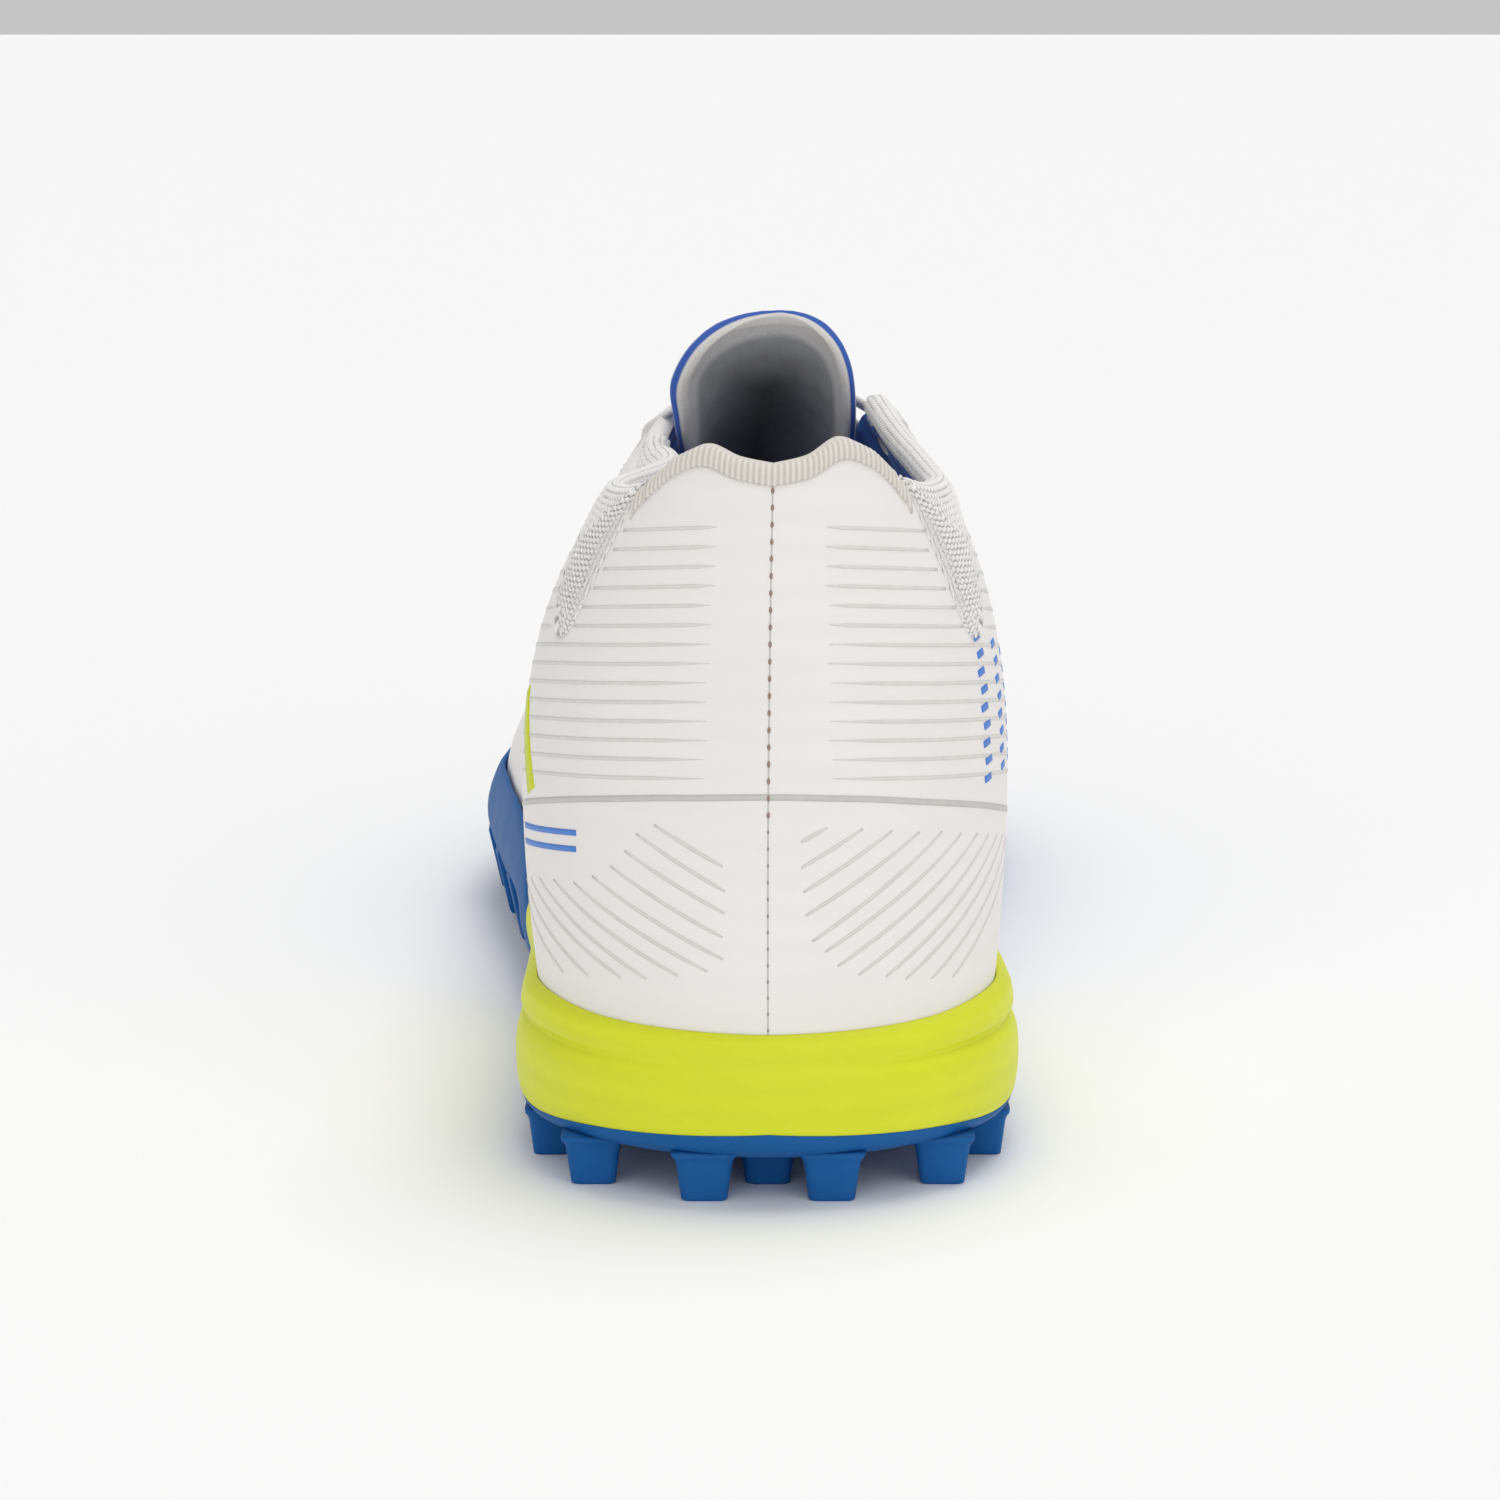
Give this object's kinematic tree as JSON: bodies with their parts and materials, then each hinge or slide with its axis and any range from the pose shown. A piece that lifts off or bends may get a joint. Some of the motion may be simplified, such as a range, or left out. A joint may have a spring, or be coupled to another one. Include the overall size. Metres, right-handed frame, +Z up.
{
  "type": "football shoe",
  "caption": "Left football shoe for artificial turf: knit-collared textile upper, laced throat, foam midsole and lugged rubber sole, standing empty.",
  "frame": {"origin": "middle of the shoe's bounding box in plan, on the floor it stands on", "axes": "+Z up, +Y from heel to toe along the shoe's length, -X towards the outer (lateral) side of this left shoe"},
  "size_m": [0.102, 0.287, 0.122],
  "materials": {
    "blue_rubber": "satin",
    "lime_foam": "matte",
    "white_textile": "matte",
    "grey_knit": "matte",
    "beige_binding": "matte",
    "tongue_cloth": "matte",
    "insole_foam": "matte",
    "white_lace": "matte"
  },
  "bodies": {
    "root": {"outsole": "blue_rubber", "midsole": "lime_foam", "insole": "insole_foam", "upper": "white_textile", "heel_binding": "beige_binding", "knit_collar_lateral": "grey_knit", "knit_collar_medial": "grey_knit", "tongue": "tongue_cloth", "laces": "white_lace"}
  },
  "joints": []
}
